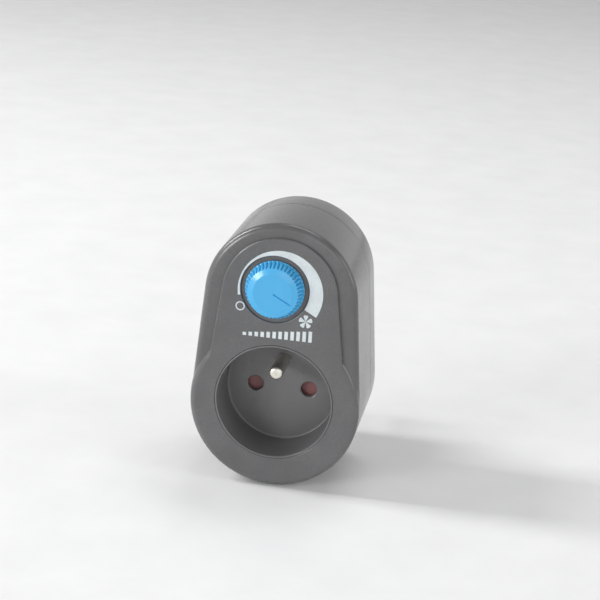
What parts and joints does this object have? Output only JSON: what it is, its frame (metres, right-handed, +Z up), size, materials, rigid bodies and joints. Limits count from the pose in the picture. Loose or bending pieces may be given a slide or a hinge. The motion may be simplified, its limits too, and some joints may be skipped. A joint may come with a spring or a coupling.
{
  "type": "plug-in fan speed controller",
  "caption": "Plug-in rotary speed controller for a duct fan: earthed plug behind, shuttered pass-through socket with earth pin in front, fluted dial knob above.",
  "frame": {"origin": "centre of the plug's nose face, on the common axis of the plug and the socket", "axes": "+X right seen from the room side, +Y along the plug pins into the wall socket, +Z up towards the dial"},
  "size_m": [0.0588, 0.0815, 0.0934],
  "materials": {
    "housing": "fine satin moulding grain",
    "socket_insert": "semi-gloss",
    "shutter_plastic": "semi-gloss dark red-brown",
    "knob_plastic": "satin",
    "carrier_plastic": "matt",
    "nickel": "nickel plate",
    "contact_brass": "rolled strip",
    "spring_steel": "drawn wire",
    "screw_steel": "zinc plate",
    "dark_screw": "blackened",
    "shaft_metal": "turned",
    "board": "phenolic laminate",
    "pot_housing": "matt",
    "track_carbon": "matt carbon",
    "switch_plastic": "matt",
    "print_ink": "screen print",
    "ferrite": "matt",
    "copper_wire": "enamelled",
    "capacitor_yellow": "gloss",
    "epoxy": "matt",
    "sink_metal": "rolled sheet",
    "fuse_glass": "clear",
    "varistor_blue": "gloss",
    "capacitor_red": "gloss",
    "resistor_body": "lacquered",
    "diac_blue": "gloss",
    "wire_brown": "PVC",
    "wire_red": "PVC"
  },
  "bodies": {
    "housing": {"front_shell": "housing", "rear_shell": "housing", "socket_cup": "socket_insert", "contact_carrier": "carrier_plastic", "pin_clamp": "carrier_plastic", "earth_pin": "nickel", "plug_pin_live": "nickel", "plug_pin_neutral": "nickel", "earth_clip_top": "nickel", "earth_clip_bottom": "nickel", "contact_live": "contact_brass", "contact_neutral": "contact_brass", "earth_bridge": "contact_brass", "earth_sleeve": "contact_brass", "fuse_clips": "contact_brass", "shutter_spring": "spring_steel", "carrier_screws": "screw_steel", "board_screws": "screw_steel", "housing_screws": "dark_screw", "circuit_board": "board", "pot_case": "pot_housing", "resistance_track": "track_carbon", "switch_case": "switch_plastic", "scale_print": "print_ink", "off_symbol": "print_ink", "fan_symbol": "print_ink", "level_marks": "print_ink", "choke_core": "ferrite", "choke_winding": "copper_wire", "suppression_capacitor": "capacitor_yellow", "triac": "epoxy", "heat_sink": "sink_metal", "fuse": "fuse_glass", "varistor": "varistor_blue", "timing_capacitor": "capacitor_red", "resistors": "resistor_body", "diac": "diac_blue", "live_in_wire": "wire_brown", "live_out_wire": "wire_red"},
    "knob": {"knob": "knob_plastic", "pot_shaft": "shaft_metal", "wiper": "contact_brass"},
    "shutter": {"shutter": "shutter_plastic"}
  },
  "joints": [
    {"name": "knob_turn", "type": "hinge", "parent": "housing", "child": "knob", "pos_m": [-0.0017, -0.06, 0.0401], "axis": [0, -1, 0], "range_deg": [-14, 240]},
    {"name": "shutter_slide", "type": "slide", "parent": "housing", "child": "shutter", "axis": [0, 0, -1], "range_m": [0, 0.007], "stiffness_N_per_m": 120, "springref_m": -0.002, "deforming": ["shutter_spring"]}
  ]
}
